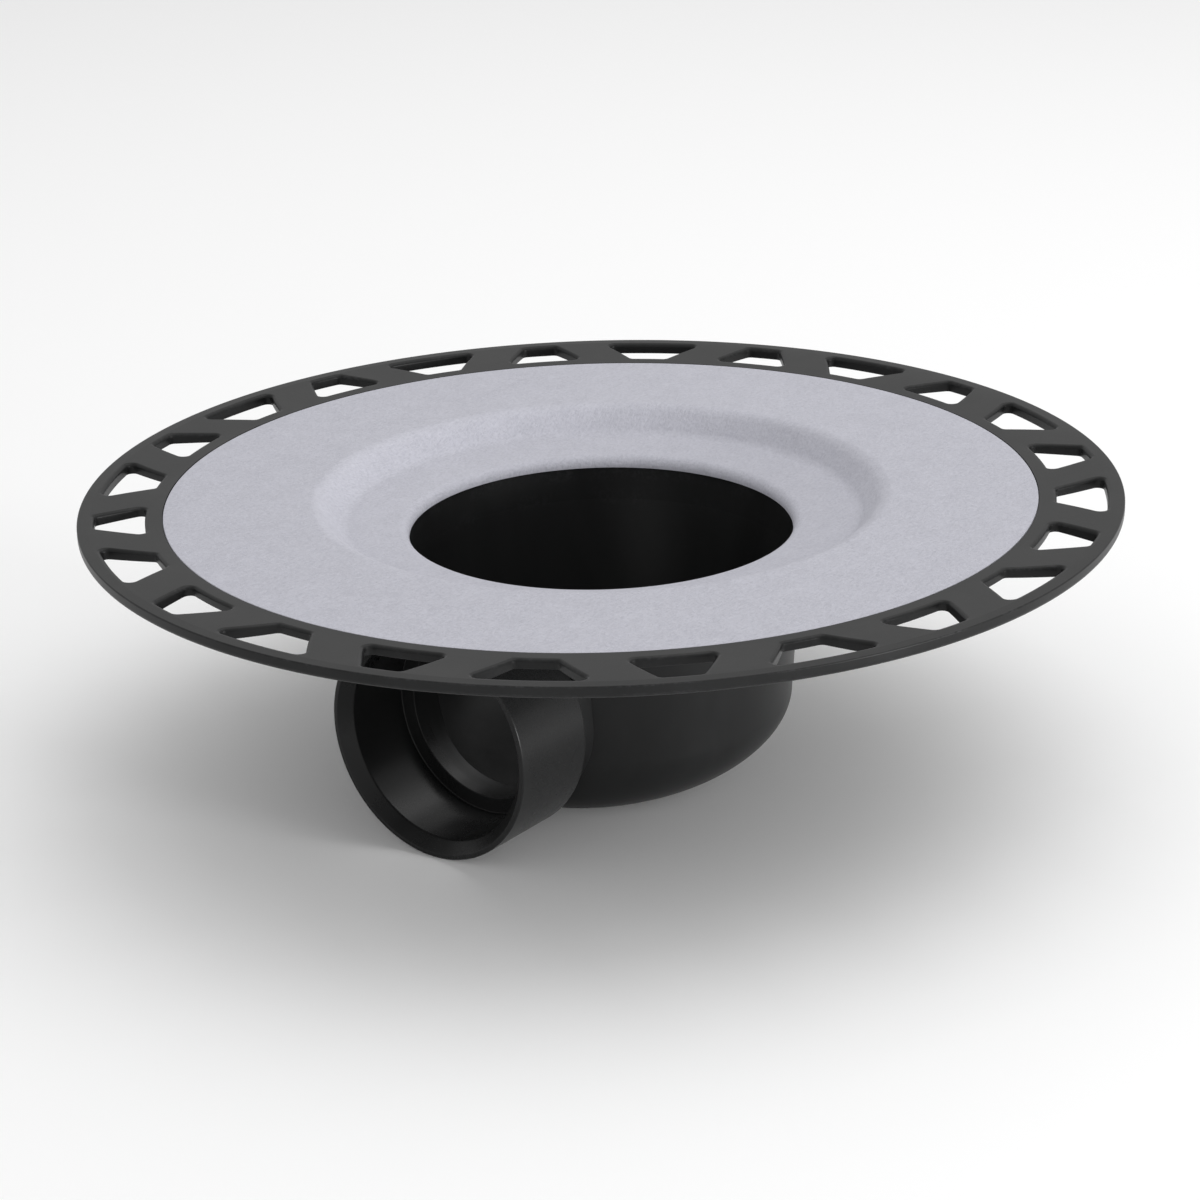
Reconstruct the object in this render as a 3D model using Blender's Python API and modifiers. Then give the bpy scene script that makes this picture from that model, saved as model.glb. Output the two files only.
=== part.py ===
"""Shower drain bonding flange with a side outlet, in metres, +Z up.

The drain axis is Z and the outlet points along -Y. Z = 0 is the underside of the flange, which
is the plane of the subfloor that the drain is set into.
"""

import math

import bmesh
import bpy
from mathutils import Matrix, Vector

COLLECTION = "shower_drain_flange"

# Driving dimensions
FLANGE_RADIUS = 0.154
RIM_THICK = 0.0035
RIM_LAND = 0.1505  # inside this flat land, the ring's top falls towards the fleece
RING_FALL = 0.0009
WALL = 0.0022
CLEAR = 0.0003
RIM_EDGE_TOP = 0.0004
RIM_EDGE_LOW = 0.0014
ROUND_STEPS = 72
OUTLET_STEPS = 56

# Ring of slots: mortar keys into them. They are turned about, wide end out and wide end in.
SLOT_COUNT = 24
SLOT_INNER = 0.1344
SLOT_OUTER = 0.149
SLOT_WIDE_OUT = (math.radians(12.5), math.radians(4.9))
SLOT_WIDE_IN = (math.radians(4.2), math.radians(10.4))
SLOT_CORNER = 0.0018

# Fleece, and the dish that it lines
FLEECE_RADIUS = 0.12916
FLEECE_THICK = 0.0006
FLEECE_DROP = RING_FALL
FLEECE_FLARE = 0.4  # how far the parallel faces of the dish's slope lie outwards, for each unit down
PLATE_UNDER_FLEECE = 0.0016
DISH_OUTER = 0.0838
DISH_INNER = 0.0768
DISH_FLOOR = 0.0086
THROAT_RADIUS = 0.0573
THROAT_LIP = 0.0104
LIP_ROUND = 0.0033
WALL_SET_BACK = 0.0009  # the wall of the throat stands this far behind the fleece's lip
DISH_EDGE_ROUND = 0.006
DISH_FOOT_ROUND = 0.005
DISH_SLOPE_WALL = 0.0023
NECK_ROUND = 0.0012

# Bowl: a tapered wall, then a floor that draws in and slides towards the outlet
WALL_TAPER = 0.0713
SCOOP_START = 0.0637
BOWL_FLOOR = 0.0853
FLOOR_RADIUS = 0.0285
FLOOR_SHIFT = 0.0148
LAP_TOP = 0.0182
LAP_LENGTH = 0.006
LAP_WALL = 0.0009
BOWL_BENDS = 7

# Outlet: the bore, its saddle against the bowl, and the pipe socket
OUTLET_DROP = 0.0531
BORE_RADIUS = 0.0252
BORE_START = 0.03
BORE_END = 0.08
SADDLE_HALF = 0.032
SADDLE_BACK = 0.036
SADDLE_ROUND = 0.006
HUB_RADIUS = 0.0351
HUB_BACK = 0.0555
HUB_MOUTH = 0.0841
SOCKET_RADIUS = 0.03035
SOCKET_DRAFT = 0.00025
SOCKET_DEPTH = 0.0245
LEAD_IN_DEPTH = 0.0036
LEAD_IN_RADIUS = 0.0336

# Cutters reach this far past what they cut.
OVERSHOOT = 0.003
ENVELOPE_TOP = 0.006

# Heights below the top of the rim become heights above the underside of the flange.
RIM_TOP = RIM_THICK
OUTLET_Z = RIM_TOP - OUTLET_DROP


def clear_scene():
    for obj in list(bpy.data.objects):
        bpy.data.objects.remove(obj, do_unlink=True)


def new_collection(name, hidden=False):
    collection = bpy.data.collections.new(name)
    collection.hide_render = hidden
    bpy.context.scene.collection.children.link(collection)
    return collection


def moulded(name, colour, roughness):
    material = bpy.data.materials.new(name)
    material.use_nodes = True
    shader = material.node_tree.nodes["Principled BSDF"]
    shader.inputs["Base Color"].default_value = (*colour, 1.0)
    shader.inputs["Roughness"].default_value = roughness
    shader.inputs["Metallic"].default_value = 0.0
    return material


def rounded(corners, pieces=3):
    """An outline through (x, y, radius) corners, each one with a radius drawn as an arc."""
    outline = []
    for i, (x, y, radius) in enumerate(corners):
        here = Vector((x, y))
        before = (Vector(corners[i - 1][:2]) - here).normalized()
        after = (Vector(corners[(i + 1) % len(corners)][:2]) - here).normalized()
        if radius == 0.0:
            outline.append(here)
            continue
        half = before.angle(after) / 2
        centre = here + (before + after).normalized() * radius / math.sin(half)
        first = here + before * radius / math.tan(half) - centre
        turn = (math.pi - 2 * half) * math.copysign(1, before.cross(after))
        for k in range(pieces + 1):
            outline.append(centre + Matrix.Rotation(-turn * k / pieces, 2) @ first)
    return outline


def object_from(bm, name, collection, material=None):
    bmesh.ops.recalc_face_normals(bm, faces=bm.faces)
    mesh = bpy.data.meshes.new(name)
    bm.to_mesh(mesh)
    bm.free()
    return linked(mesh, name, collection, material)


def linked(mesh, name, collection, material):
    obj = bpy.data.objects.new(name, mesh)
    collection.objects.link(obj)
    if material is None:
        obj.hide_render = True
        obj.display_type = "WIRE"
        return obj
    mesh.materials.append(material)
    if mesh.polygons:
        mesh.shade_smooth()
        mesh.set_sharp_from_angle(angle=math.radians(35))
    return obj


def turned(name, outline, steps, collection, material=None):
    """A closed outline of (radius, height) points, turned about Z with a Screw modifier."""
    mesh = bpy.data.meshes.new(name)
    count = len(outline)
    edges = [(i, (i + 1) % count) for i in range(count)]
    mesh.from_pydata([(r, 0.0, z) for r, z in outline], edges, [])
    obj = linked(mesh, name, collection, material)
    screw = obj.modifiers.new("turn", "SCREW")
    screw.steps = steps
    screw.render_steps = steps
    screw.use_merge_vertices = True
    screw.merge_threshold = 1e-6
    screw.use_smooth_shade = True
    return obj


def cut(obj, cutter):
    boolean = obj.modifiers.new("cut_" + cutter.name, "BOOLEAN")
    boolean.operation = "DIFFERENCE"
    boolean.solver = "EXACT"
    boolean.object = cutter


def prism(bm, outline, frame, depth):
    """A flat outline placed by a matrix and drawn out along the matrix's own Z."""
    verts = [bm.verts.new(frame @ Vector((x, y, 0.0))) for x, y in outline]
    face = bm.faces.new(verts)
    drawn = bmesh.ops.extrude_face_region(bm, geom=[face])["geom"]
    moved = [v for v in drawn if isinstance(v, bmesh.types.BMVert)]
    bmesh.ops.translate(bm, verts=moved, vec=frame.to_3x3() @ Vector((0, 0, depth)))


def wall_radius(drop):
    """Radius of the inside of the throat at a depth below the rim."""
    return THROAT_RADIUS + WALL_SET_BACK - (drop - THROAT_LIP - LIP_ROUND) * WALL_TAPER


def slot_cutter(collection):
    bm = bmesh.new()
    for k in range(SLOT_COUNT):
        outer_angle, inner_angle = SLOT_WIDE_OUT if k % 2 == 0 else SLOT_WIDE_IN
        corners = []
        for radius, angle in (
            (SLOT_OUTER, -outer_angle / 2),
            (SLOT_OUTER, outer_angle / 2),
            (SLOT_INNER, inner_angle / 2),
            (SLOT_INNER, -inner_angle / 2),
        ):
            corners.append((radius * math.cos(angle), radius * math.sin(angle), SLOT_CORNER))
        turn = Matrix.Rotation(2 * math.pi * k / SLOT_COUNT, 4, "Z")
        frame = turn @ Matrix.Translation((0, 0, -OVERSHOOT))
        prism(bm, rounded(corners), frame, RIM_THICK + 2 * OVERSHOOT)
    return object_from(bm, "cut_slots", collection)


def fleece_path(below):
    """Corners of the fleece's top face from its edge to the throat, or a face parallel to it."""
    return (
        (DISH_OUTER + below * FLEECE_FLARE, RIM_TOP - FLEECE_DROP - below, DISH_EDGE_ROUND),
        (DISH_INNER + below * FLEECE_FLARE, RIM_TOP - DISH_FLOOR - below, DISH_FOOT_ROUND),
        (THROAT_RADIUS + below, RIM_TOP - THROAT_LIP - below, LIP_ROUND - below / 2),
    )


def bonding_flange(collection, cutters):
    seat = FLEECE_THICK + CLEAR
    lap_bottom = LAP_TOP + LAP_LENGTH
    lip_end = THROAT_LIP + LIP_ROUND + CLEAR
    under = FLEECE_DROP + seat + PLATE_UNDER_FLEECE
    corners = (
        (RIM_LAND, RIM_TOP, 0.0),
        (FLANGE_RADIUS, RIM_TOP, RIM_EDGE_TOP),
        (FLANGE_RADIUS, 0.0, RIM_EDGE_LOW),
        (DISH_OUTER + DISH_SLOPE_WALL, 0.0, DISH_FOOT_ROUND),
        (DISH_INNER + DISH_SLOPE_WALL, RIM_TOP - DISH_FLOOR - under, DISH_FOOT_ROUND),
        (wall_radius(LAP_TOP) + WALL, RIM_TOP - THROAT_LIP - under, NECK_ROUND),
        (wall_radius(LAP_TOP) + WALL, RIM_TOP - LAP_TOP, 0.0),
        (wall_radius(LAP_TOP) + LAP_WALL, RIM_TOP - LAP_TOP, 0.0),
        (wall_radius(lap_bottom) + LAP_WALL, RIM_TOP - lap_bottom, 0.0),
        (wall_radius(lap_bottom), RIM_TOP - lap_bottom, 0.0),
        (wall_radius(lip_end), RIM_TOP - lip_end, 0.0),
        *reversed(fleece_path(seat)),
        (FLEECE_RADIUS + CLEAR, RIM_TOP - FLEECE_DROP - seat, 0.0),
        (FLEECE_RADIUS + CLEAR, RIM_TOP - RING_FALL, 0.0),
    )
    plastic = moulded("flange_plastic", (0.03, 0.03, 0.032), 0.42)
    flange = turned("bonding_flange", rounded(corners), ROUND_STEPS, collection, plastic)
    cut(flange, slot_cutter(cutters))


def fleece_membrane(collection):
    lip = RIM_TOP - THROAT_LIP - LIP_ROUND
    corners = (
        (FLEECE_RADIUS, RIM_TOP - FLEECE_DROP, 0.0),
        (FLEECE_RADIUS, RIM_TOP - FLEECE_DROP - FLEECE_THICK, 0.0),
        *fleece_path(FLEECE_THICK),
        (THROAT_RADIUS + FLEECE_THICK, lip, 0.0),
        (THROAT_RADIUS, lip, 0.0),
        *reversed(fleece_path(0.0)),
    )
    felt = moulded("fleece_felt", (0.47, 0.47, 0.53), 0.95)
    turned("fleece_membrane", rounded(corners), ROUND_STEPS, collection, felt)


def bowl_surface(bm, top, grow, closed):
    """The outside of the bowl, grown by a little, from a depth below the rim to its floor."""
    points = [(wall_radius(drop) + WALL + grow, drop) for drop in (top, SCOOP_START)]
    start_radius = points[-1][0]
    for k in range(1, BOWL_BENDS + 1):
        angle = math.pi / 2 * k / BOWL_BENDS
        radius = start_radius + (FLOOR_RADIUS + grow - start_radius) * (1 - math.cos(angle))
        drop = SCOOP_START + (BOWL_FLOOR + grow - SCOOP_START) * math.sin(angle)
        points.append((radius, drop))
    points.append((0.0, BOWL_FLOOR + grow))
    if closed:
        points.insert(0, (0.0, top))
    verts = [bm.verts.new((radius, 0.0, RIM_TOP - drop)) for radius, drop in points]
    edges = [bm.edges.new(pair) for pair in zip(verts, verts[1:])]
    bmesh.ops.spin(
        bm, geom=verts + edges, cent=(0, 0, 0), axis=(0, 0, 1), angle=2 * math.pi,
        steps=ROUND_STEPS, use_merge=True,
    )
    bmesh.ops.remove_doubles(bm, verts=bm.verts, dist=1e-6)
    for vert in bm.verts:
        depth = (RIM_TOP - vert.co.z - SCOOP_START) / (BOWL_FLOOR + grow - SCOOP_START)
        depth = min(max(depth, 0.0), 1.0)
        vert.co.y -= FLOOR_SHIFT * (1 - math.sqrt(1 - depth * depth))


def bore_cutter(collection):
    bm = bmesh.new()
    middle = Matrix.Translation((0, -(BORE_START + BORE_END) / 2, OUTLET_Z))
    bmesh.ops.create_cone(
        bm, cap_ends=True, segments=OUTLET_STEPS, radius1=BORE_RADIUS, radius2=BORE_RADIUS,
        depth=BORE_END - BORE_START, matrix=middle @ Matrix.Rotation(math.pi / 2, 4, "X"),
    )
    return object_from(bm, "cut_bore", collection)


def drain_bowl(collection, cutters, bore):
    bm = bmesh.new()
    bowl_surface(bm, LAP_TOP - OVERSHOOT, 0.0, closed=False)
    plastic = moulded("bowl_plastic", (0.026, 0.026, 0.028), 0.45)
    bowl = object_from(bm, "drain_bowl", collection, plastic)
    shell = bowl.modifiers.new("wall", "SOLIDIFY")
    shell.thickness = WALL
    shell.offset = -1.0
    shell.use_even_offset = True
    lap_bottom = LAP_TOP + LAP_LENGTH + CLEAR
    outline = (
        (DISH_OUTER, RIM_TOP),
        (DISH_OUTER, RIM_TOP - LAP_TOP - CLEAR),
        (wall_radius(LAP_TOP) + LAP_WALL + CLEAR, RIM_TOP - LAP_TOP - CLEAR),
        (wall_radius(lap_bottom) + LAP_WALL + CLEAR, RIM_TOP - lap_bottom),
        (0.0, RIM_TOP - lap_bottom),
        (0.0, RIM_TOP),
    )
    cut(bowl, turned("cut_lap", outline, ROUND_STEPS, cutters))
    cut(bowl, bore)


def bowl_envelope(collection):
    """The outside of the bowl and its neck, which the saddle and the hub are coped to."""
    bm = bmesh.new()
    bowl_surface(bm, ENVELOPE_TOP, CLEAR, closed=True)
    return object_from(bm, "cut_envelope", collection)


def outlet_saddle(collection, envelope, bore):
    bm = bmesh.new()
    half = SADDLE_HALF
    foot_round = half - 0.00001
    corners = (
        (-half, half, SADDLE_ROUND),
        (half, half, SADDLE_ROUND),
        (half, -half, foot_round),
        (-half, -half, foot_round),
    )
    front = -HUB_BACK + CLEAR
    frame = Matrix.Translation((0, front, OUTLET_Z)) @ Matrix.Rotation(math.pi / 2, 4, "X")
    prism(bm, rounded(corners, pieces=14), frame, front + SADDLE_BACK)
    plastic = moulded("saddle_plastic", (0.026, 0.026, 0.028), 0.45)
    saddle = object_from(bm, "outlet_saddle", collection, plastic)
    cut(saddle, envelope)
    cut(saddle, bore)


def outlet_hub(collection, envelope):
    shoulder = HUB_MOUTH - SOCKET_DEPTH
    corners = (
        (HUB_RADIUS, HUB_MOUTH, 0.0004),
        (HUB_RADIUS, HUB_BACK, 0.0006),
        (BORE_RADIUS, HUB_BACK, 0.0),
        (BORE_RADIUS, shoulder, 0.0004),
        (SOCKET_RADIUS - SOCKET_DRAFT, shoulder, 0.0),
        (SOCKET_RADIUS, HUB_MOUTH - LEAD_IN_DEPTH, 0.0),
        (LEAD_IN_RADIUS, HUB_MOUTH, 0.0),
    )
    plastic = moulded("hub_plastic", (0.028, 0.028, 0.03), 0.4)
    hub = turned("outlet_hub", rounded(corners, pieces=2), OUTLET_STEPS, collection, plastic)
    hub.location = (0.0, 0.0, OUTLET_Z)
    hub.rotation_euler = (math.pi / 2, 0.0, 0.0)
    cut(hub, envelope)


def main():
    clear_scene()
    parts = new_collection(COLLECTION)
    cutters = new_collection("cutters", hidden=True)
    bore = bore_cutter(cutters)
    envelope = bowl_envelope(cutters)
    bonding_flange(parts, cutters)
    fleece_membrane(parts)
    drain_bowl(parts, cutters, bore)
    outlet_saddle(parts, envelope, bore)
    outlet_hub(parts, envelope)


main()
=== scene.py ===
"""Finished look of a shower drain bonding flange: moulded plastic, a felt membrane and a soft studio."""

import math

import bmesh
import bpy
from bpy.props import FloatProperty, FloatVectorProperty, IntProperty, PointerProperty
from mathutils import Matrix, Vector, noise


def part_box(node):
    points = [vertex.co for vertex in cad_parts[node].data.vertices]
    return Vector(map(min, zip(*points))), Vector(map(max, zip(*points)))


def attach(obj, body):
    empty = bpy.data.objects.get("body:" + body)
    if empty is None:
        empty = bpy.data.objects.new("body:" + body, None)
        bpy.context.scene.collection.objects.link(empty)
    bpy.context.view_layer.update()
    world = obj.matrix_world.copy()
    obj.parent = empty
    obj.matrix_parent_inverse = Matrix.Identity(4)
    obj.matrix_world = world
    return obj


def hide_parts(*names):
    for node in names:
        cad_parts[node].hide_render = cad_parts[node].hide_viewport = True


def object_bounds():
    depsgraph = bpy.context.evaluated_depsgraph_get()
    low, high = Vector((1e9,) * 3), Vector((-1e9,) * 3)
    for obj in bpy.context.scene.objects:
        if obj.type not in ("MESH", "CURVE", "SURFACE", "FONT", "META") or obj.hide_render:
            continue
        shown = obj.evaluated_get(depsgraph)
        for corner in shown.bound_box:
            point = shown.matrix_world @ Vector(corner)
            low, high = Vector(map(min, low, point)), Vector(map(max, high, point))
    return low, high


bl_info = {
    "name": "Shower Drain Flange",
    "version": (1, 0, 0),
    "blender": (4, 5, 0),
    "location": "View3D > Sidebar > Drain Flange",
    "description": "Builds a slotted bonding flange with a felt membrane, a bowl and a side outlet",
    "category": "Add Mesh",
}

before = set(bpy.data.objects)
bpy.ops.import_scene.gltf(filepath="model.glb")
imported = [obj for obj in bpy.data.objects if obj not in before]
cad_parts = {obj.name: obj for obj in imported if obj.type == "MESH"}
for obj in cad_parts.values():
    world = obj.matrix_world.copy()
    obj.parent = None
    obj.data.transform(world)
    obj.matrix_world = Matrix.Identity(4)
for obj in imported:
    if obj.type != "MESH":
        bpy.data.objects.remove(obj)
CAD_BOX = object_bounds()
BODY = "root"
FLANGE_LOW, FLANGE_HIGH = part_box("bonding_flange")
FLEECE_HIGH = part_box("fleece_membrane")[1]
BOWL_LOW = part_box("drain_bowl")[0]
SADDLE_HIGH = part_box("outlet_saddle")[1]
HUB_LOW, HUB_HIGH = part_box("outlet_hub")
RIM_TOP = FLANGE_HIGH.z
UNDERSIDE = 0.0
OUTLET_Z = (HUB_LOW.z + HUB_HIGH.z) / 2
NECK_END = FLANGE_LOW.z
FULL_TURN = 2 * math.pi
MERGE = 2e-7  # points closer than this are one point


# ---------------------------------------------------------------- sizes and finishes


def length(name, description, default):
    return FloatProperty(
        name=name, description=description, default=default, min=0.0, unit="LENGTH", precision=5
    )


def share(name, description, default, high=1.0):
    return FloatProperty(name=name, description=description, default=default, min=0.0, max=high)


def turn(name, description, degrees):
    return FloatProperty(
        name=name, description=description, default=math.radians(degrees), unit="ROTATION", subtype="ANGLE"
    )


def colour(name, description, default):
    return FloatVectorProperty(
        name=name, description=description, default=default, min=0.0, max=1.0, subtype="COLOR"
    )


class FlangeSizes(bpy.types.PropertyGroup):
    """Sizes of the slotted ring, its dish and its neck."""

    steps: IntProperty(name="Steps", description="Facets round the drain axis", default=384, min=48)
    slots: IntProperty(name="Slots", description="Mortar slots round the ring", default=24, min=4)
    slot_inner: length("Slot inside", "Radius of the slots' inner edge", 0.1344)
    slot_outer: length("Slot outside", "Radius of the slots' outer edge", 0.149)
    wide_out_outer: turn("Wide-out outer", "Angle of the outer edge of a slot that is wide outside", 12.5)
    wide_out_inner: turn("Wide-out inner", "Angle of the inner edge of a slot that is wide outside", 4.9)
    wide_in_outer: turn("Wide-in outer", "Angle of the outer edge of a slot that is wide inside", 4.2)
    wide_in_inner: turn("Wide-in inner", "Angle of the inner edge of a slot that is wide inside", 10.4)
    slot_corner: length("Slot corner", "Corner radius of a slot", 0.0018)
    slot_edge_top: length("Slot top edge", "Rounding where a slot meets the top face", 0.0012)
    slot_edge_low: length("Slot low edge", "Rounding where a slot meets the underside", 0.0003)
    land: length("Land", "Radius inside which the ring's top falls towards the felt", 0.1505)
    rim_edge_top: length("Rim top edge", "Rounding of the ring's upper outer edge", 0.0004)
    rim_edge_low: length("Rim lower edge", "Rounding of the ring's lower outer edge", 0.0014)
    wall: length("Wall", "Wall of the neck and the bowl", 0.0022)
    slope_wall: length("Slope wall", "Wall of the dish's slope, measured level", 0.0023)
    plate: length("Plate", "Plate left under the felt", 0.0016)
    under_edge: length("Under edge", "Rounding where the underside turns down round the dish", 0.005)
    under_foot: length("Under foot", "Rounding where the slope meets the underside of the dish", 0.004)
    under_fall: length("Under fall", "How far the dish's underside falls towards the neck", 0.0003)
    neck_round: length("Neck rounding", "Rounding between the neck and the underside of the dish", 0.0012)
    lap_top: length("Lap top", "Depth of the lap with the bowl below the rim", 0.0182)
    lap_wall: length("Lap wall", "Wall of the neck inside the bowl's lap", 0.0009)


class FleeceSizes(bpy.types.PropertyGroup):
    """Sizes of the felt membrane and the dish it lines."""

    thickness: length("Thickness", "Thickness of the felt", 0.0008)
    dish_outer: length("Dish outside", "Radius where the felt starts down into the dish", 0.0838)
    dish_inner: length("Dish inside", "Radius where the slope meets the dish floor", 0.0768)
    dish_depth: length("Dish depth", "Depth of the dish floor below the rim", 0.0086)
    throat: length("Throat", "Radius of the hole", 0.0573)
    lip_depth: length("Lip depth", "Depth below the rim where the felt turns down", 0.0104)
    lip_round: length("Lip rounding", "Radius of the turned-down lip", 0.0033)
    flare: share("Flare", "How far the slope's parallel faces lie outwards, for each unit down", 0.4)
    edge_round: length("Edge rounding", "Rounding where the felt starts down the slope", 0.006)
    foot_round: length("Foot rounding", "Rounding where the slope meets the dish floor", 0.005)
    gap: length("Gap", "Gap between the felt and the plastic round it", 0.0002)
    side: length("Side allowance", "Estimated allowance on the radius of the flat sheet", 0.0065)
    turned_in: length("Hole allowance", "Estimated allowance off the radius of the flat sheet's hole", 0.002)
    set_back: length("Set-back", "How far the throat's wall stands behind the felt's lip", 0.0009)
    ripple: length("Ripple", "Height of the felt's slow unevenness", 0.00003)


class BowlSizes(bpy.types.PropertyGroup):
    """Sizes of the bowl under the flange."""

    steps: IntProperty(name="Steps", description="Facets round the bowl", default=256, min=48)
    taper: share("Taper", "Draw-in of the wall for each metre down", 0.0713)
    scoop_start: length("Scoop start", "Depth below the rim where the floor starts to draw in", 0.0637)
    floor_radius: length("Floor radius", "Radius of the flat patch of the floor", 0.0285)
    floor_shift: length("Floor shift", "How far the floor slides towards the outlet", 0.0148)
    bends: IntProperty(name="Bends", description="Steps of the curve into the floor", default=28, min=4)


class OutletSizes(bpy.types.PropertyGroup):
    """Sizes of the saddle and the pipe socket."""

    steps: IntProperty(name="Steps", description="Facets round the outlet", default=192, min=48)
    bore: length("Bore", "Radius of the waterway", 0.0252)
    socket: length("Socket", "Radius of the pipe socket", 0.03035)
    socket_draft: length("Draft", "How much the socket narrows towards its stop", 0.00025)
    socket_depth: length("Socket depth", "Depth of the pipe socket", 0.0245)
    lead_in_radius: length("Lead-in radius", "Radius of the lead-in at the mouth", 0.0336)
    lead_in_depth: length("Lead-in depth", "Depth of the lead-in cone", 0.0036)
    mouth_edge: length("Mouth edge", "Rounding of the mouth's outer edge", 0.0005)
    bore_start: length("Bore start", "Where the bore starts, from the drain axis", 0.03)
    bore_end: length("Bore end", "How far out the bore is cut through bowl and saddle", 0.08)
    cope: length("Cope", "How far the saddle and the hub reach into the bowl's skin", 0.0001)
    cope_top: length("Cope top", "Depth below the rim where the shape that copes them starts", 0.006)
    saddle_back: length("Saddle back", "Where the saddle starts, from the drain axis", 0.036)
    saddle_top: length("Saddle corner", "Rounding of the saddle's top corners", 0.006)


class Finishes(bpy.types.PropertyGroup):
    """Colours and textures."""

    plastic: colour("Plastic", "Colour of the moulded plastic", (0.0105, 0.0107, 0.0108))
    plastic_worn: colour("Worn plastic", "Colour of rubbed edges", (0.045, 0.045, 0.047))
    grain_depth: length("Grain depth", "Depth of the fine grain on the plastic", 0.00003)
    felt_light: colour("Felt light", "Lighter fibres of the felt", (0.475, 0.475, 0.532))
    felt_dark: colour("Felt dark", "Darker fibres of the felt", (0.405, 0.405, 0.455))


class StudioSettings(bpy.types.PropertyGroup):
    """Camera and lights."""

    azimuth: turn("Azimuth", "Angle of the camera from the outlet's side, round the drain axis", 37.6)
    elevation: turn("Elevation", "Angle of the camera above the rim", 21.17)
    roll: turn("Roll", "Tilt of the camera about its own axis", 1.63)
    distance: length("Distance", "Distance from the camera to the middle of the rim", 0.898)
    drop: length("Drop", "How far below the middle of the rim the camera aims", 0.034)
    lens: FloatProperty(name="Lens", description="Focal length in millimetres", default=90.6, min=10.0)
    floor_size: length("Floor size", "Radius of the floor", 6.0)
    floor_colour: colour("Floor colour", "Colour of the floor", (0.95, 0.95, 0.95))
    sky: FloatProperty(name="Sky", description="Strength of the pale surroundings", default=0.72, min=0.0)


# ---------------------------------------------------------------- shapes


def rounded(corners, pieces=8):
    """An outline through (x, y, radius) corners, each one with a radius drawn as an arc."""
    outline = []
    for i, (x, y, radius) in enumerate(corners):
        here = Vector((x, y))
        before = (Vector(corners[i - 1][:2]) - here).normalized()
        after = (Vector(corners[(i + 1) % len(corners)][:2]) - here).normalized()
        if radius == 0.0:
            outline.append(here)
            continue
        half = before.angle(after) / 2
        centre = here + (before + after).normalized() * radius / math.sin(half)
        first = here + before * radius / math.tan(half) - centre
        sweep = (math.pi - 2 * half) * math.copysign(1, before.cross(after))
        for k in range(pieces + 1):
            outline.append(centre + Matrix.Rotation(-sweep * k / pieces, 2) @ first)
    return outline


def divided(points, longest, closed):
    """The same line with its long stretches cut into even shorter ones."""
    result = []
    count = len(points) if closed else len(points) - 1
    for i in range(count):
        here, there = points[i], points[(i + 1) % len(points)]
        cuts = max(1, math.ceil((there - here).length / longest))
        result += [here.lerp(there, k / cuts) for k in range(cuts)]
    return result if closed else [*result, points[-1]]


def grown(outline, distance):
    """A counterclockwise outline moved outwards, square to itself at each point."""
    moved = []
    for i, here in enumerate(outline):
        along = (outline[(i + 1) % len(outline)] - outline[i - 1]).normalized()
        moved.append(here + Vector((along.y, -along.x)) * distance)
    return moved


def spin_profile(bm, points, steps, closed, along_outlet=False):
    """Turns (radius, height) points about the drain axis, or (radius, reach) points about the outlet."""
    if along_outlet:
        verts = [bm.verts.new((r, -reach, OUTLET_Z)) for r, reach in points]
        axis, centre = (0, 1, 0), (0, 0, OUTLET_Z)
    else:
        verts = [bm.verts.new((r, 0.0, z)) for r, z in points]
        axis, centre = (0, 0, 1), (0, 0, 0)
    pairs = list(zip(verts, verts[1:]))
    if closed:
        pairs.append((verts[-1], verts[0]))
    edges = [bm.edges.new(pair) for pair in pairs]
    bmesh.ops.spin(
        bm, geom=verts + edges, cent=centre, axis=axis, angle=FULL_TURN, steps=steps, use_merge=True
    )


def closed_line(bm, points, z):
    verts = [bm.verts.new((x, y, z)) for x, y in points]
    return [bm.edges.new((verts[i - 1], verts[i])) for i in range(len(verts))]


def circle(radius, steps):
    return [
        Vector((radius * math.cos(FULL_TURN * k / steps), radius * math.sin(FULL_TURN * k / steps)))
        for k in range(steps)
    ]


def mark_edges(bm, tightest=0.0007):
    """Stores on each point how tightly the surface bends outwards there, from 0 to 1, for edge wear."""
    layer = bm.verts.layers.float.new("edge")
    for vert in bm.verts:
        bend = 0.0
        for edge in vert.link_edges:
            if len(edge.link_faces) != 2:
                continue
            width = sum(face.calc_area() for face in edge.link_faces) / 2 / max(edge.calc_length(), 1e-7)
            bend = max(bend, edge.calc_face_angle_signed(0.0) * tightest / max(width, 1e-5))
        vert[layer] = min(bend, 1.0)


def piece_from(bm, name, material, node, sharp=38.0):
    bmesh.ops.remove_doubles(bm, verts=bm.verts, dist=MERGE)
    bmesh.ops.recalc_face_normals(bm, faces=bm.faces)
    mark_edges(bm)
    mesh = bpy.data.meshes.new(name)
    bm.to_mesh(mesh)
    bm.free()
    mesh.shade_smooth()
    mesh.set_sharp_from_angle(angle=math.radians(sharp))
    mesh.materials.append(material)
    piece = bpy.data.objects.new(name, mesh)
    bpy.context.scene.collection.objects.link(piece)
    even = piece.modifiers.new("even_shading", "WEIGHTED_NORMAL")
    even.keep_sharp = True
    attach(piece, BODY)
    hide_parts(node)
    return piece


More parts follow.
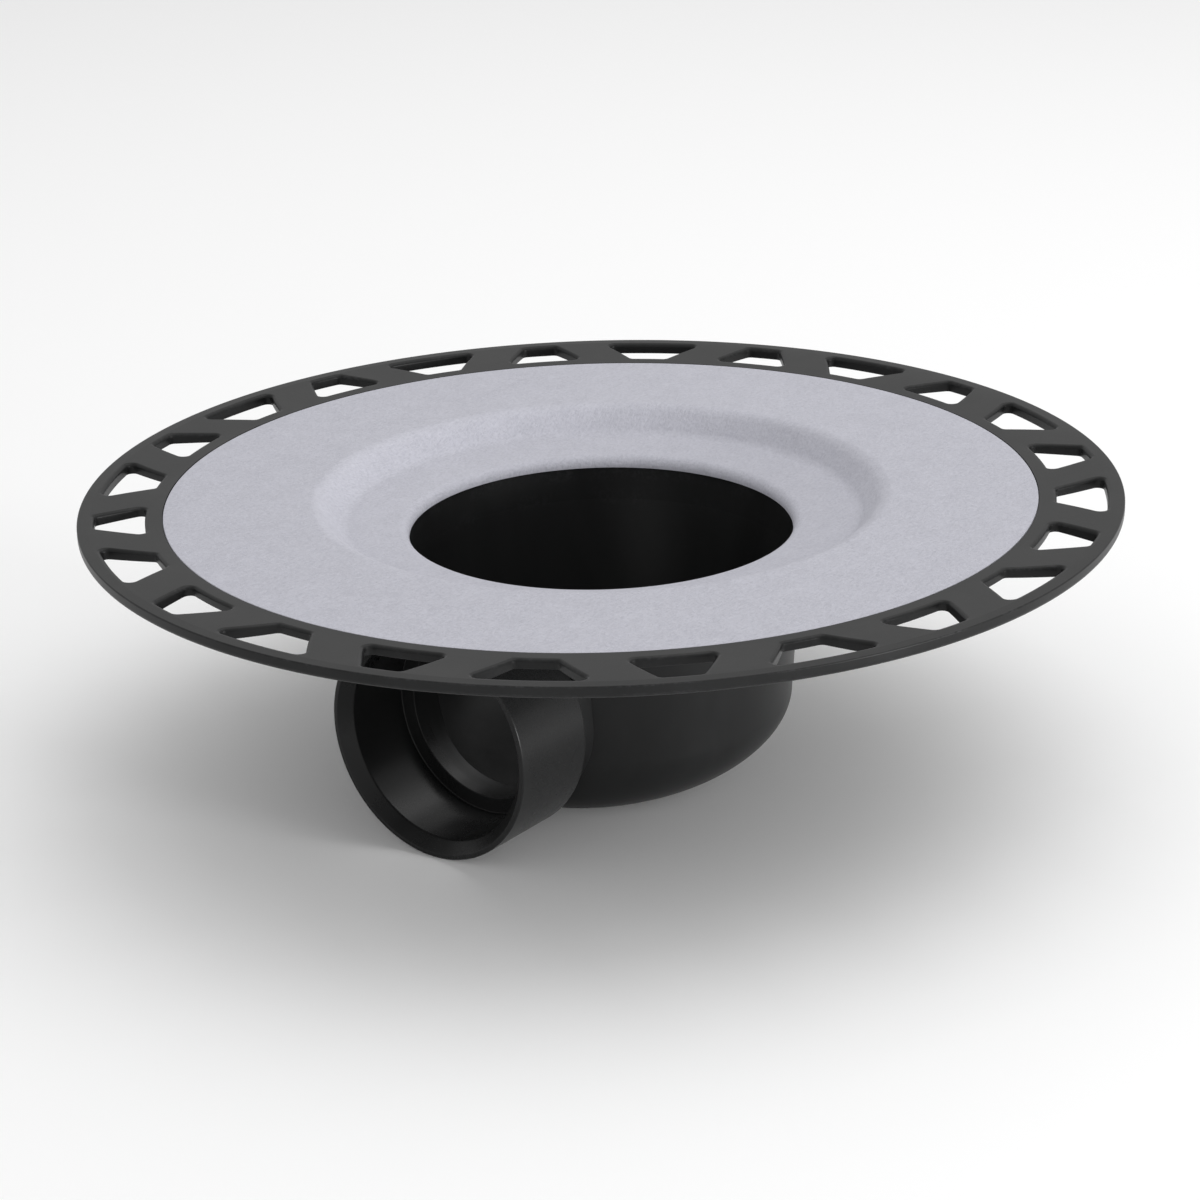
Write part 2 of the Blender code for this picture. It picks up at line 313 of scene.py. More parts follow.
def cut_away(bm, cutters):
    """The bmesh less each cutter bmesh, by Boolean modifiers that are applied at once."""
    body = helper_from(bm, "body")
    helpers = [helper_from(cutter, "cutter") for cutter in cutters]
    for helper in helpers:
        boolean = body.modifiers.new("cut", "BOOLEAN")
        boolean.operation = "DIFFERENCE"
        boolean.solver = "EXACT"
        boolean.object = helper
    graph = bpy.context.evaluated_depsgraph_get()
    result = bmesh.new()
    result.from_mesh(body.evaluated_get(graph).to_mesh())
    for helper in [body, *helpers]:
        mesh = helper.data
        bpy.data.objects.remove(helper)
        bpy.data.meshes.remove(mesh)
    return result


def helper_from(bm, name):
    bmesh.ops.remove_doubles(bm, verts=bm.verts, dist=MERGE)
    bmesh.ops.recalc_face_normals(bm, faces=bm.faces)
    mesh = bpy.data.meshes.new(name)
    bm.to_mesh(mesh)
    bm.free()
    helper = bpy.data.objects.new(name, mesh)
    bpy.context.scene.collection.objects.link(helper)
    return helper


def wall_radius(drop):
    """Radius of the throat's inside wall at a depth below the rim."""
    felt = bpy.context.scene.drain_fleece
    taper = bpy.context.scene.drain_bowl.taper
    return felt.throat + felt.set_back - (drop - felt.lip_depth - felt.lip_round) * taper


def felt_path(below):
    """Corners of the felt's top face from the dish's edge to the throat, or of a face that far below it."""
    felt = bpy.context.scene.drain_fleece
    top = FLEECE_HIGH.z
    return (
        (felt.dish_outer + below * felt.flare, top - below, felt.edge_round),
        (felt.dish_inner + below * felt.flare, RIM_TOP - felt.dish_depth - below, felt.foot_round),
        (felt.throat + below, RIM_TOP - felt.lip_depth - below, felt.lip_round - below / 2),
    )


# ---------------------------------------------------------------- shader groups


class Nodes:
    """Short calls for building a node tree."""

    def __init__(self, tree):
        self.tree = tree

    def add(self, kind, **values):
        node = self.tree.nodes.new(kind)
        for name, value in values.items():
            if name in node.inputs:
                self.feed(value, node.inputs[name])
            else:
                setattr(node, name, value)
        return node

    def feed(self, value, socket):
        if isinstance(value, bpy.types.NodeSocket):
            self.tree.links.new(value, socket)
        else:
            socket.default_value = value

    def math(self, operation, first, second=0.0, clamp=False):
        node = self.add("ShaderNodeMath", operation=operation, use_clamp=clamp)
        self.feed(first, node.inputs[0])
        self.feed(second, node.inputs[1])
        return node.outputs[0]

    def noise(self, vector, scale, detail=2.0, roughness=0.5, distortion=0.0):
        node = self.add("ShaderNodeTexNoise")
        for name, value in (
            ("Vector", vector), ("Scale", scale), ("Detail", detail),
            ("Roughness", roughness), ("Distortion", distortion),
        ):
            self.feed(value, node.inputs[name])
        return node.outputs["Fac"]

    def ramp(self, value, low, high):
        node = self.add("ShaderNodeMapRange", interpolation_type="SMOOTHSTEP")
        self.feed(value, node.inputs["Value"])
        self.feed(low, node.inputs["From Min"])
        self.feed(high, node.inputs["From Max"])
        return node.outputs["Result"]

    def between(self, value, low, high):
        """A value from 0 to 1 made one from low to high."""
        node = self.add("ShaderNodeMapRange")
        self.feed(value, node.inputs["Value"])
        self.feed(low, node.inputs["To Min"])
        self.feed(high, node.inputs["To Max"])
        return node.outputs["Result"]

    def blend(self, share_of, first, second):
        node = self.add("ShaderNodeMix", data_type="RGBA")
        self.feed(share_of, node.inputs[0])
        self.feed(first, node.inputs[6])
        self.feed(second, node.inputs[7])
        return node.outputs[2]


def group(name, inputs, outputs):
    """A new shader node group with (name, type, default) inputs and (name, type) outputs."""
    tree = bpy.data.node_groups.new(name, "ShaderNodeTree")
    for title, kind, default in inputs:
        socket = tree.interface.new_socket(name=title, in_out="INPUT", socket_type=kind)
        if default is not None:
            socket.default_value = default
    for title, kind in outputs:
        tree.interface.new_socket(name=title, in_out="OUTPUT", socket_type=kind)
    nodes = Nodes(tree)
    return nodes, nodes.add("NodeGroupInput").outputs, nodes.add("NodeGroupOutput").inputs


def moulded_grain_group():
    """Fine spark-eroded grain and the slow streaks where the melt flowed."""
    nodes, given, result = group(
        "moulded_grain",
        [("Vector", "NodeSocketVector", None), ("Grain Size", "NodeSocketFloat", 2600.0)],
        [("Grain", "NodeSocketFloat"), ("Flow", "NodeSocketFloat")],
    )
    fine = nodes.noise(given["Vector"], given["Grain Size"], 3.0, 0.6)
    coarse = nodes.noise(given["Vector"], nodes.math("MULTIPLY", given["Grain Size"], 0.27), 2.0, 0.5)
    grain = nodes.math("ADD", nodes.math("MULTIPLY", fine, 0.7), nodes.math("MULTIPLY", coarse, 0.3))
    nodes.feed(grain, result["Grain"])
    stretch = nodes.add("ShaderNodeVectorMath", operation="MULTIPLY")
    nodes.feed(given["Vector"], stretch.inputs[0])
    stretch.inputs[1].default_value = (1.0, 1.0, 0.35)
    nodes.feed(nodes.noise(stretch.outputs[0], 26.0, 4.0, 0.55, 0.8), result["Flow"])
    return nodes.tree


def rubbed_edges_group():
    """Where handling has rubbed the outward edges: the edge mask broken up by patchy noise."""
    nodes, given, result = group(
        "rubbed_edges",
        [
            ("Vector", "NodeSocketVector", None),
            ("Edge", "NodeSocketFloat", 0.0),
            ("Amount", "NodeSocketFloat", 0.5),
        ],
        [("Mask", "NodeSocketFloat")],
    )
    patches = nodes.ramp(nodes.noise(given["Vector"], 90.0, 3.0, 0.6), 0.42, 0.68)
    scuffs = nodes.ramp(nodes.noise(given["Vector"], 900.0, 2.0, 0.6), 0.4, 0.62)
    worn = nodes.math("MULTIPLY", nodes.math("MULTIPLY", patches, scuffs), given["Edge"])
    nodes.feed(nodes.math("MULTIPLY", worn, given["Amount"], clamp=True), result["Mask"])
    return nodes.tree


def settled_dust_group():
    """Thin pale dust that lies on faces that look up."""
    nodes, given, result = group(
        "settled_dust",
        [("Vector", "NodeSocketVector", None), ("Amount", "NodeSocketFloat", 0.1)],
        [("Mask", "NodeSocketFloat")],
    )
    facing = nodes.add("ShaderNodeSeparateXYZ")
    nodes.feed(nodes.add("ShaderNodeNewGeometry").outputs["Normal"], facing.inputs[0])
    level = nodes.ramp(facing.outputs["Z"], 0.55, 0.98)
    clouds = nodes.ramp(nodes.noise(given["Vector"], 38.0, 5.0, 0.62), 0.35, 0.75)
    specks = nodes.ramp(nodes.noise(given["Vector"], 1500.0, 2.0, 0.5), 0.6, 0.74)
    cover = nodes.math("ADD", nodes.math("MULTIPLY", clouds, 0.5), nodes.math("MULTIPLY", specks, 0.6))
    dusty = nodes.math("MULTIPLY", nodes.math("MULTIPLY", cover, level), given["Amount"], clamp=True)
    nodes.feed(dusty, result["Mask"])
    return nodes.tree


def fibres_group():
    """Tangled felt fibres: thin streaks that run several ways, and the mottle of a carded web."""
    nodes, given, result = group(
        "felt_fibres",
        [("Vector", "NodeSocketVector", None), ("Fibre Size", "NodeSocketFloat", 1.0)],
        [("Fibres", "NodeSocketFloat"), ("Mottle", "NodeSocketFloat")],
    )
    layers = []
    for angle, across, along in ((8, 2900, 420), (52, 2600, 460), (97, 3000, 380), (141, 2700, 500)):
        turned = nodes.add("ShaderNodeMapping")
        nodes.feed(given["Vector"], turned.inputs["Vector"])
        turned.inputs["Rotation"].default_value = (0.0, 0.0, math.radians(angle))
        turned.inputs["Scale"].default_value = (across, along, 600)
        sized = nodes.add("ShaderNodeVectorMath", operation="SCALE")
        nodes.feed(turned.outputs[0], sized.inputs[0])
        nodes.feed(given["Fibre Size"], sized.inputs["Scale"])
        layers.append(nodes.ramp(nodes.noise(sized.outputs[0], 1.0, 1.0, 0.5, 0.6), 0.42, 0.72))
    tangle = layers[0]
    for layer in layers[1:]:
        tangle = nodes.math("MAXIMUM", tangle, layer)
    nodes.feed(tangle, result["Fibres"])
    cloud = nodes.noise(given["Vector"], 900.0, 4.0, 0.65)
    broad = nodes.noise(given["Vector"], 120.0, 3.0, 0.5)
    mottle = nodes.math("ADD", nodes.math("MULTIPLY", cloud, 0.75), nodes.math("MULTIPLY", broad, 0.25))
    nodes.feed(nodes.ramp(mottle, 0.33, 0.67), result["Mottle"])
    return nodes.tree


def shared(maker, name):
    return bpy.data.node_groups.get(name) or maker()


def group_node(nodes, tree, **values):
    node = nodes.add("ShaderNodeGroup")
    node.node_tree = tree
    for name, value in values.items():
        nodes.feed(value, node.inputs[name.replace("_", " ").title()])
    return node.outputs


def new_material(name):
    material = bpy.data.materials.new(name)
    material.use_nodes = True
    nodes = Nodes(material.node_tree)
    return material, nodes, material.node_tree.nodes["Principled BSDF"]


def moulded_plastic(name, rough, shine, wear, dust):
    """Black moulded plastic: satin skin, fine grain, streaks of flow, rubbed edges and a little dust."""
    finish = bpy.context.scene.drain_finish
    material, nodes, shader = new_material(name)
    place = nodes.add("ShaderNodeTexCoord").outputs["Object"]
    grain = group_node(nodes, shared(moulded_grain_group, "moulded_grain"), vector=place, grain_size=2600.0)
    edge = nodes.add("ShaderNodeAttribute", attribute_name="edge").outputs["Fac"]
    worn = group_node(nodes, shared(rubbed_edges_group, "rubbed_edges"), vector=place, edge=edge, amount=wear)
    dusty = group_node(nodes, shared(settled_dust_group, "settled_dust"), vector=place, amount=dust)
    deep = (*finish.plastic, 1.0)
    pale = (*[c * 1.45 for c in finish.plastic], 1.0)
    skin = nodes.blend(nodes.ramp(grain["Flow"], 0.3, 0.72), deep, pale)
    skin = nodes.blend(worn["Mask"], skin, (*finish.plastic_worn, 1.0))
    skin = nodes.blend(dusty["Mask"], skin, (0.32, 0.31, 0.3, 1.0))
    nodes.feed(skin, shader.inputs["Base Color"])
    satin = nodes.between(grain["Flow"], rough - 0.05, rough + 0.07)
    satin = nodes.math("ADD", satin, nodes.math("MULTIPLY", grain["Grain"], 0.06))
    satin = nodes.math("ADD", satin, nodes.math("MULTIPLY", worn["Mask"], 0.12))
    satin = nodes.math("ADD", satin, nodes.math("MULTIPLY", dusty["Mask"], 0.5), clamp=True)
    nodes.feed(satin, shader.inputs["Roughness"])
    bump = nodes.add("ShaderNodeBump", Strength=0.35, Distance=finish.grain_depth)
    nodes.feed(grain["Grain"], bump.inputs["Height"])
    nodes.feed(bump.outputs[0], shader.inputs["Normal"])
    shader.inputs["Specular IOR Level"].default_value = shine
    return material


def felt():
    """Grey needled felt: tangled fibres over a soft mottle, matt, with a slight bloom at low angles."""
    finish = bpy.context.scene.drain_finish
    material, nodes, shader = new_material("grey_felt")
    place = nodes.add("ShaderNodeTexCoord").outputs["Object"]
    fibres = group_node(nodes, shared(fibres_group, "felt_fibres"), vector=place, fibre_size=1.0)
    base = nodes.blend(fibres["Mottle"], (*finish.felt_dark, 1.0), (*finish.felt_light, 1.0))
    pale = nodes.blend(0.5, (*finish.felt_light, 1.0), (0.74, 0.74, 0.78, 1.0))
    web = nodes.blend(nodes.math("MULTIPLY", fibres["Fibres"], 0.3), base, pale)
    nodes.feed(web, shader.inputs["Base Color"])
    nodes.feed(nodes.between(fibres["Mottle"], 0.86, 0.97), shader.inputs["Roughness"])
    height = nodes.math("ADD", fibres["Fibres"], nodes.math("MULTIPLY", fibres["Mottle"], 1.5))
    bump = nodes.add("ShaderNodeBump", Strength=0.5, Distance=0.00012)
    nodes.feed(height, bump.inputs["Height"])
    nodes.feed(bump.outputs[0], shader.inputs["Normal"])
    shader.inputs["Sheen Weight"].default_value = 0.06
    shader.inputs["Sheen Roughness"].default_value = 0.6
    shader.inputs["Specular IOR Level"].default_value = 0.2
    return material


# ---------------------------------------------------------------- the pieces


def slot_outline(index):
    """The outline of one mortar slot, drawn flat and then bent round the drain axis."""
    ring = bpy.context.scene.drain_flange
    middle = (ring.slot_inner + ring.slot_outer) / 2
    if index % 2 == 0:
        outer, inner = ring.wide_out_outer, ring.wide_out_inner
    else:
        outer, inner = ring.wide_in_outer, ring.wide_in_inner
    corners = (
        (ring.slot_inner, -inner * middle / 2, ring.slot_corner),
        (ring.slot_outer, -outer * middle / 2, ring.slot_corner),
        (ring.slot_outer, outer * middle / 2, ring.slot_corner),
        (ring.slot_inner, inner * middle / 2, ring.slot_corner),
    )
    flat = divided(rounded(corners, pieces=7), 0.0016, closed=True)
    centre = FULL_TURN * index / ring.slots
    return [
        Vector((r * math.cos(centre + across / middle), r * math.sin(centre + across / middle)))
        for r, across in flat
    ]


def quarter_round(edge, turns):
    """(outwards, down) steps round the edge of a hole, from the face to the wall."""
    angles = [math.pi / 2 * k / turns for k in range(turns + 1)]
    return [(edge * (1 - math.sin(angle)), edge * (1 - math.cos(angle))) for angle in angles]


def slot_wall(bm, outline, edge_top, edge_low):
    """The wall of a slot, rounded where it meets the faces."""
    stack = [(grow, RIM_TOP - down) for grow, down in quarter_round(edge_top, 7)]
    stack += [(grow, UNDERSIDE + down) for grow, down in reversed(quarter_round(edge_low, 3))]
    loops = [closed_line(bm, grown(outline, grow), z) for grow, z in stack]
    for upper, lower in zip(loops, loops[1:]):
        bmesh.ops.bridge_loops(bm, edges=upper + lower)


def ring_face(bm, z, inner, outer, steps, holes):
    """A flat face of the ring with a hole for each slot."""
    edges = closed_line(bm, circle(inner, steps), z) + closed_line(bm, circle(outer, steps), z)
    for hole in holes:
        edges += closed_line(bm, hole, z)
    bmesh.ops.triangle_fill(bm, use_beauty=True, edges=edges, normal=(0, 0, 1))


def slope_ring(bm, inside, land):
    """Lets the ring's top fall from its land to the felt, with its underside kept flat."""
    fall = (RIM_TOP - FLEECE_HIGH.z) / (land - FLEECE_HIGH.x)
    for vert in bm.verts:
        radius = vert.co.xy.length
        if inside < radius < land:
            vert.co.z -= fall * (land - radius) * (vert.co.z - UNDERSIDE) / (RIM_TOP - UNDERSIDE)


class DRAIN_OT_bonding_flange(bpy.types.Operator):
    """Build the slotted ring with its dish and neck"""

    bl_idname = "drain.bonding_flange"
    bl_label = "Bonding Flange"

    def execute(self, context):
        ring, felt_sizes = context.scene.drain_flange, context.scene.drain_fleece
        radius = FLANGE_HIGH.x
        join = (FLEECE_HIGH.x + ring.slot_inner) / 2
        seat = felt_sizes.thickness
        lap_drop = RIM_TOP - NECK_END
        under = RIM_TOP - FLEECE_HIGH.z + seat + ring.plate
        lip = RIM_TOP - felt_sizes.lip_depth - felt_sizes.lip_round - felt_sizes.gap
        neck = wall_radius(ring.lap_top)
        side = rounded(
            (
                (ring.land, RIM_TOP, 0.0),
                (radius, RIM_TOP, ring.rim_edge_top),
                (radius, UNDERSIDE, ring.rim_edge_low),
                (ring.land, UNDERSIDE, 0.0),
            ),
            pieces=8,
        )
        slope = ring.slope_wall
        dish = rounded(
            (
                (join, UNDERSIDE, 0.0),
                (felt_sizes.dish_outer + slope, UNDERSIDE, ring.under_edge),
                (felt_sizes.dish_inner + slope, RIM_TOP - felt_sizes.dish_depth - under, ring.under_foot),
                (neck + ring.wall, RIM_TOP - felt_sizes.lip_depth - under - ring.under_fall, ring.neck_round),
                (neck + ring.wall, RIM_TOP - ring.lap_top, 0.0),
                (neck + ring.lap_wall, RIM_TOP - ring.lap_top, 0.0),
                (wall_radius(lap_drop) + ring.lap_wall, NECK_END, 0.0),
                (wall_radius(lap_drop), NECK_END, 0.0),
                (wall_radius(RIM_TOP - lip), lip, 0.0),
                *reversed(felt_path(seat)),
                (FLEECE_HIGH.x + felt_sizes.gap, FLEECE_HIGH.z - seat, 0.0),
                (FLEECE_HIGH.x + felt_sizes.gap, FLEECE_HIGH.z, felt_sizes.gap / 2),
                (join, RIM_TOP, 0.0),
            ),
            pieces=8,
        )
        bm = bmesh.new()
        spin_profile(bm, side, ring.steps, closed=False)
        spin_profile(bm, divided(dish, 0.006, closed=False), ring.steps, closed=False)
        outlines = [slot_outline(k) for k in range(ring.slots)]
        tops = [grown(outline, ring.slot_edge_top) for outline in outlines]
        lows = [grown(outline, ring.slot_edge_low) for outline in outlines]
        ring_face(bm, RIM_TOP, join, ring.land, ring.steps, tops)
        ring_face(bm, UNDERSIDE, join, ring.land, ring.steps, lows)
        for outline in outlines:
            slot_wall(bm, outline, ring.slot_edge_top, ring.slot_edge_low)
        slope_ring(bm, FLEECE_HIGH.x + 0.0003, ring.land)
        plastic = moulded_plastic("flange_plastic", rough=0.32, shine=0.16, wear=0.5, dust=0.05)
        piece_from(bm, "bonding_flange_moulding", plastic, "bonding_flange")
        return {"FINISHED"}


class DRAIN_OT_fleece_membrane(bpy.types.Operator):
    """Build the felt membrane that lines the flange"""

    bl_idname = "drain.fleece_membrane"
    bl_label = "Fleece Membrane"

    def execute(self, context):
        sizes = context.scene.drain_fleece
        steps = context.scene.drain_flange.steps
        lip = RIM_TOP - sizes.lip_depth - sizes.lip_round
        top = FLEECE_HIGH.z
        under = sizes.thickness - 0.00005
        corners = (
            (FLEECE_HIGH.x, top, 0.00025),
            (FLEECE_HIGH.x, top - under, 0.0),
            *felt_path(under),
            (sizes.throat + under, lip, 0.0),
            (sizes.throat, lip, 0.0),
            *reversed(felt_path(0.0)),
        )
        bm = bmesh.new()
        spin_profile(bm, divided(rounded(corners, pieces=9), 0.0021, closed=True), steps, closed=True)
        bmesh.ops.remove_doubles(bm, verts=bm.verts, dist=MERGE)
        for vert in bm.verts:
            swell = noise.noise(vert.co * 45.0) * 0.7 + noise.noise(vert.co * 210.0) * 0.3
            vert.co.z += sizes.ripple * swell
        piece = piece_from(bm, "fleece_membrane_sheet", felt(), "fleece_membrane", sharp=60.0)
        return {"FINISHED"}


def bowl_points(inset, top_drop):
    """(radius, depth) points down the bowl's wall and into its floor, inset from the outside."""
    bowl, ring = bpy.context.scene.drain_bowl, bpy.context.scene.drain_flange
    floor = RIM_TOP - BOWL_LOW.z - inset
    start = wall_radius(bowl.scoop_start) + ring.wall - inset
    top = wall_radius(top_drop) + ring.wall - inset
    points = [Vector((top, top_drop)), Vector((start, bowl.scoop_start))]
    points = divided(points, 0.004, closed=False)
    for k in range(1, bowl.bends + 1):
        angle = math.pi / 2 * k / bowl.bends
        radius = start + (bowl.floor_radius - inset * 0.6 - start) * (1 - math.cos(angle))
        points.append(Vector((radius, bowl.scoop_start + (floor - bowl.scoop_start) * math.sin(angle))))
    points += [Vector((points[-1].x * k / 6, floor)) for k in range(5, -1, -1)]
    return points, floor


def slide_floor(verts, floor):
    """Slides the drawn-in floor towards the outlet, more the deeper it lies."""
    bowl = bpy.context.scene.drain_bowl
    for vert in verts:
        depth = (RIM_TOP - vert.co.z - bowl.scoop_start) / (floor - bowl.scoop_start)
        depth = min(max(depth, 0.0), 1.0)
        vert.co.y -= bowl.floor_shift * (1 - math.sqrt(1 - depth * depth))


def bowl_skin(bm, inset, top_drop):
    """One skin of the bowl, in its place."""
    points, floor = bowl_points(inset, top_drop)
    before = set(bm.verts)
    heights = [(r, RIM_TOP - drop) for r, drop in points]
    spin_profile(bm, heights, bpy.context.scene.drain_bowl.steps, closed=False)
    slide_floor([vert for vert in bm.verts if vert not in before], floor)


def bore_bmesh():
    outlet = bpy.context.scene.drain_outlet
    bm = bmesh.new()
    middle = (outlet.bore_start + outlet.bore_end) / 2
    place = Matrix.Translation((0, -middle, OUTLET_Z)) @ Matrix.Rotation(math.pi / 2, 4, "X")
    bmesh.ops.create_cone(
        bm, cap_ends=True, segments=outlet.steps, radius1=outlet.bore, radius2=outlet.bore,
        depth=outlet.bore_end - outlet.bore_start, matrix=place,
    )
    return bm


def envelope_bmesh():
    """The outside of the bowl as a solid, to cope the saddle and the hub with."""
    bm = bmesh.new()
    outlet = bpy.context.scene.drain_outlet
    bowl_skin(bm, outlet.cope, outlet.cope_top)
    bmesh.ops.remove_doubles(bm, verts=bm.verts, dist=MERGE)
    bmesh.ops.holes_fill(bm, edges=[edge for edge in bm.edges if edge.is_boundary], sides=0)
    return bm


class DRAIN_OT_drain_bowl(bpy.types.Operator):
    """Build the bowl with its floor that falls to the outlet"""

    bl_idname = "drain.drain_bowl"
    bl_label = "Drain Bowl"

    def execute(self, context):
        ring = context.scene.drain_flange
        top = ring.lap_top
        lap = RIM_TOP - NECK_END
        lap_skin = ring.wall - ring.lap_wall
        bm = bmesh.new()
        bowl_skin(bm, 0.0, top)
        bowl_skin(bm, ring.wall, lap)
        collar = (
            (wall_radius(top) + ring.wall, RIM_TOP - top),
            (wall_radius(top) + ring.wall - lap_skin, RIM_TOP - top),
            (wall_radius(lap) + ring.wall - lap_skin, RIM_TOP - lap),
            (wall_radius(lap), RIM_TOP - lap),
        )
        spin_profile(bm, collar, context.scene.drain_bowl.steps, closed=False)
        cut = cut_away(bm, [bore_bmesh()])
        plastic = moulded_plastic("bowl_plastic", rough=0.32, shine=0.2, wear=0.4, dust=0.03)
        piece_from(cut, "drain_bowl_moulding", plastic, "drain_bowl")
        return {"FINISHED"}


class DRAIN_OT_outlet_saddle(bpy.types.Operator):
    """Build the saddle between the bowl and the pipe socket"""

    bl_idname = "drain.outlet_saddle"
    bl_label = "Outlet Saddle"

    def execute(self, context):
        outlet = context.scene.drain_outlet
        half = SADDLE_HIGH.x
        corners = (
            (-half, half, outlet.saddle_top),
            (-half, -half, half - 0.00001),
            (half, -half, half - 0.00001),
            (half, half, outlet.saddle_top),
        )
        outline = divided(rounded(corners, pieces=32), 0.002, closed=True)
        bm = bmesh.new()
        front = HUB_HIGH.y
        verts = [bm.verts.new((x, front, OUTLET_Z + z)) for x, z in outline]
        drawn = bmesh.ops.extrude_face_region(bm, geom=[bm.faces.new(verts)])["geom"]
        moved = [v for v in drawn if isinstance(v, bmesh.types.BMVert)]
        bmesh.ops.translate(bm, verts=moved, vec=(0, -outlet.saddle_back - front, 0))
        cut = cut_away(bm, [envelope_bmesh(), bore_bmesh()])
        plastic = moulded_plastic("saddle_plastic", rough=0.32, shine=0.2, wear=0.4, dust=0.03)
        piece_from(cut, "outlet_saddle_moulding", plastic, "outlet_saddle")
        return {"FINISHED"}


class DRAIN_OT_outlet_hub(bpy.types.Operator):
    """Build the pipe socket"""

    bl_idname = "drain.outlet_hub"
    bl_label = "Outlet Hub"

    def execute(self, context):
        outlet = context.scene.drain_outlet
        radius = HUB_HIGH.x
        mouth, back = -HUB_LOW.y, -HUB_HIGH.y
        stop = mouth - outlet.socket_depth
        corners = (
            (radius, mouth, outlet.mouth_edge),
            (radius, back, 0.0006),
            (outlet.bore, back, 0.0),
            (outlet.bore, stop, 0.0003),
            (outlet.socket - outlet.socket_draft, stop, 0.0004),
            (outlet.socket, mouth - outlet.lead_in_depth, 0.001),
            (outlet.lead_in_radius, mouth, 0.0003),
        )
        bm = bmesh.new()
        profile = divided(rounded(corners, pieces=6), 0.0025, closed=True)
        spin_profile(bm, profile, outlet.steps, closed=True, along_outlet=True)
        cut = cut_away(bm, [envelope_bmesh()])
        plastic = moulded_plastic("hub_plastic", rough=0.24, shine=0.21, wear=0.2, dust=0.03)
        piece_from(cut, "outlet_hub_socket", plastic, "outlet_hub")
        return {"FINISHED"}


# ---------------------------------------------------------------- the studio


def softbox(name, azimuth, elevation, distance, size, power):
    """A rectangular area light that faces the drain, placed by its angles from the camera's side."""
    data = bpy.data.lights.new(name, "AREA")
    data.shape = "RECTANGLE"
    data.size, data.size_y = size
    data.energy = power
    light = bpy.data.objects.new(name, data)
    away = Vector((
        math.sin(azimuth) * math.cos(elevation),
        -math.cos(azimuth) * math.cos(elevation),
        math.sin(elevation),
    ))
    light.location = away * distance
    light.rotation_euler = away.to_track_quat("Z", "Y").to_euler()
    bpy.context.scene.collection.objects.link(light)
    return light


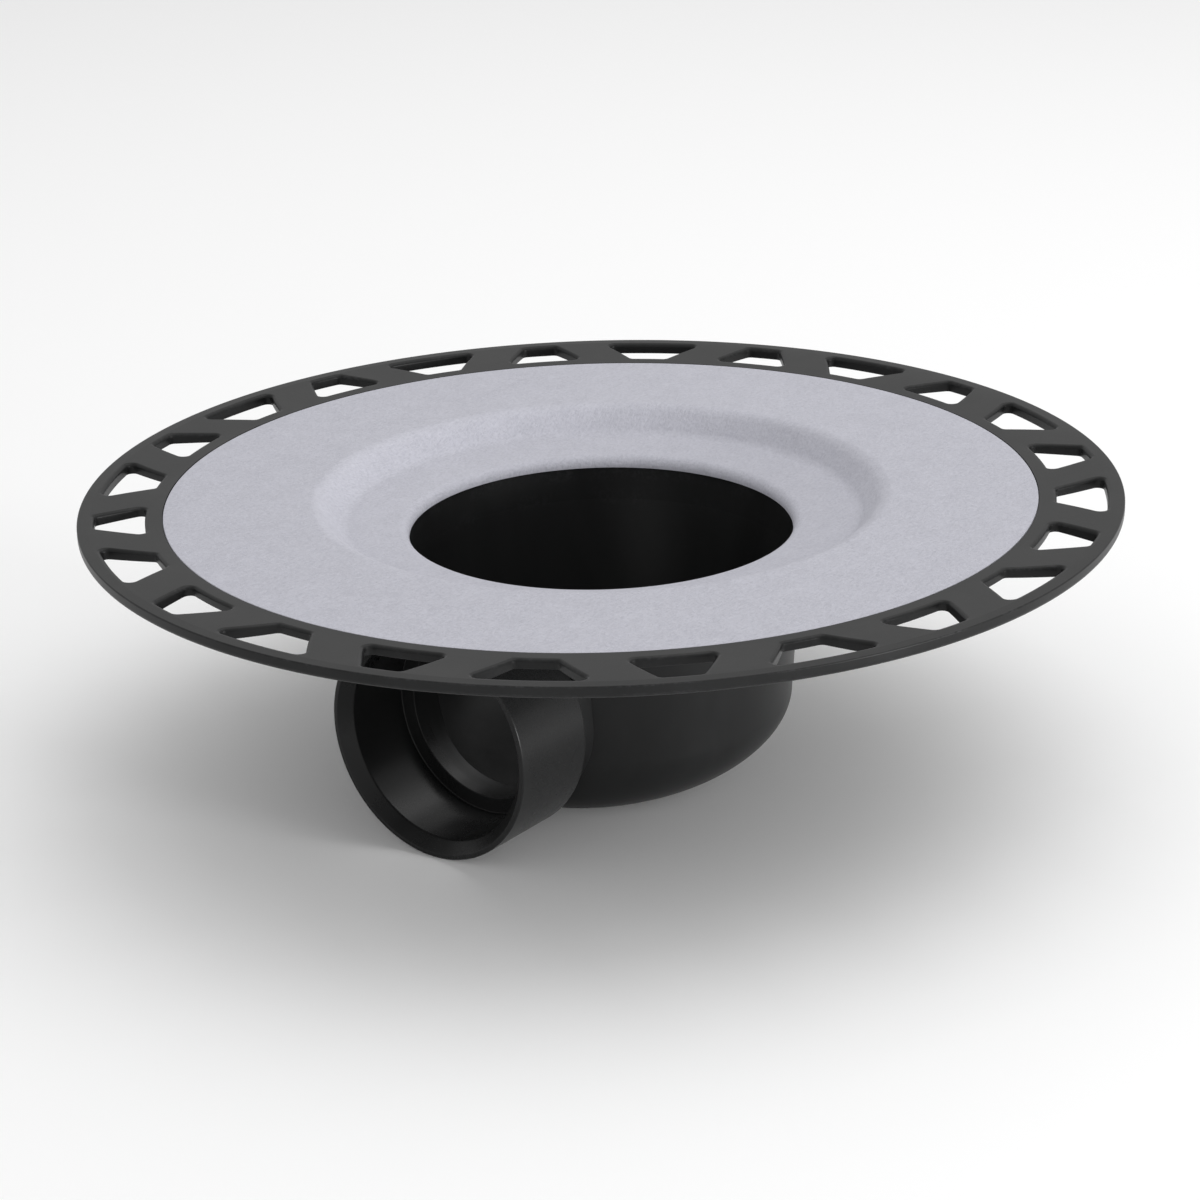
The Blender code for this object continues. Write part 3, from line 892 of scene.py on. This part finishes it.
class DRAIN_OT_studio(bpy.types.Operator):
    """Set up the pale floor, the soft lights and the camera"""

    bl_idname = "drain.studio"
    bl_label = "Studio"

    def execute(self, context):
        studio = context.scene.drain_studio
        self.camera(context, studio)
        self.floor(context, studio)
        for name, around, above, distance, size, power in (
            ("side_softbox", 56, 1, 1.4, (0.3, 0.4), 18.0),
            ("top_softbox", 115, 70, 1.7, (1.6, 1.6), 11.5),
        ):
            softbox(name, studio.azimuth + math.radians(around), math.radians(above), distance, size, power)
        world = bpy.data.worlds.new("pale_surroundings")
        world.use_nodes = True
        backdrop = world.node_tree.nodes["Background"]
        backdrop.inputs["Color"].default_value = (1.0, 1.0, 1.0, 1.0)
        backdrop.inputs["Strength"].default_value = studio.sky
        context.scene.world = world
        context.scene.view_settings.view_transform = "Standard"
        return {"FINISHED"}

    def camera(self, context, studio):
        right = Vector((math.cos(studio.azimuth), math.sin(studio.azimuth), 0.0))
        flat_back = Vector((math.sin(studio.azimuth), -math.cos(studio.azimuth), 0.0))
        back = flat_back * math.cos(studio.elevation) + Vector((0, 0, math.sin(studio.elevation)))
        up = back.cross(right)
        tilt = Matrix.Rotation(studio.roll, 3, back)
        right, up = tilt.inverted() @ right, tilt.inverted() @ up
        data = bpy.data.cameras.new("view")
        data.lens = studio.lens
        data.sensor_width = 36.0
        data.clip_start = 0.01
        camera = bpy.data.objects.new("view", data)
        place = Matrix((right, up, back)).transposed().to_4x4()
        place.translation = Vector((0, 0, RIM_TOP)) + back * studio.distance - up * studio.drop
        camera.matrix_world = place
        context.scene.collection.objects.link(camera)
        context.scene.camera = camera

    def floor(self, context, studio):
        bm = bmesh.new()
        bmesh.ops.create_circle(bm, cap_ends=True, segments=96, radius=studio.floor_size)
        bmesh.ops.translate(bm, verts=bm.verts, vec=(0, 0, CAD_BOX[0][2]))
        mesh = bpy.data.meshes.new("studio_floor")
        bm.to_mesh(mesh)
        bm.free()
        floor = bpy.data.objects.new("studio_floor", mesh)
        context.scene.collection.objects.link(floor)
        material, nodes, shader = new_material("floor_paint")
        shader.inputs["Base Color"].default_value = (*studio.floor_colour, 1.0)
        shader.inputs["Roughness"].default_value = 0.85
        mesh.materials.append(material)


class DRAIN_PT_sidebar(bpy.types.Panel):
    """The drain flange's pieces, in the order they are built"""

    bl_label = "Drain Flange"
    bl_idname = "DRAIN_PT_sidebar"
    bl_space_type = "VIEW_3D"
    bl_region_type = "UI"
    bl_category = "Drain Flange"

    def draw(self, context):
        for step in STEPS:
            self.layout.operator(step.bl_idname)


SETTINGS = {
    "drain_flange": FlangeSizes,
    "drain_fleece": FleeceSizes,
    "drain_bowl": BowlSizes,
    "drain_outlet": OutletSizes,
    "drain_finish": Finishes,
    "drain_studio": StudioSettings,
}
STEPS = (
    DRAIN_OT_studio,
    DRAIN_OT_bonding_flange,
    DRAIN_OT_fleece_membrane,
    DRAIN_OT_drain_bowl,
    DRAIN_OT_outlet_saddle,
    DRAIN_OT_outlet_hub,
)


def register():
    for cls in (*SETTINGS.values(), *STEPS, DRAIN_PT_sidebar):
        bpy.utils.register_class(cls)
    for name, cls in SETTINGS.items():
        setattr(bpy.types.Scene, name, PointerProperty(type=cls))


def unregister():
    for name in SETTINGS:
        delattr(bpy.types.Scene, name)
    for cls in reversed((*SETTINGS.values(), *STEPS, DRAIN_PT_sidebar)):
        bpy.utils.unregister_class(cls)


def main():
    register()
    for step in STEPS:
        family, name = step.bl_idname.split(".")
        getattr(getattr(bpy.ops, family), name)()


if __name__ == "__main__":
    main()
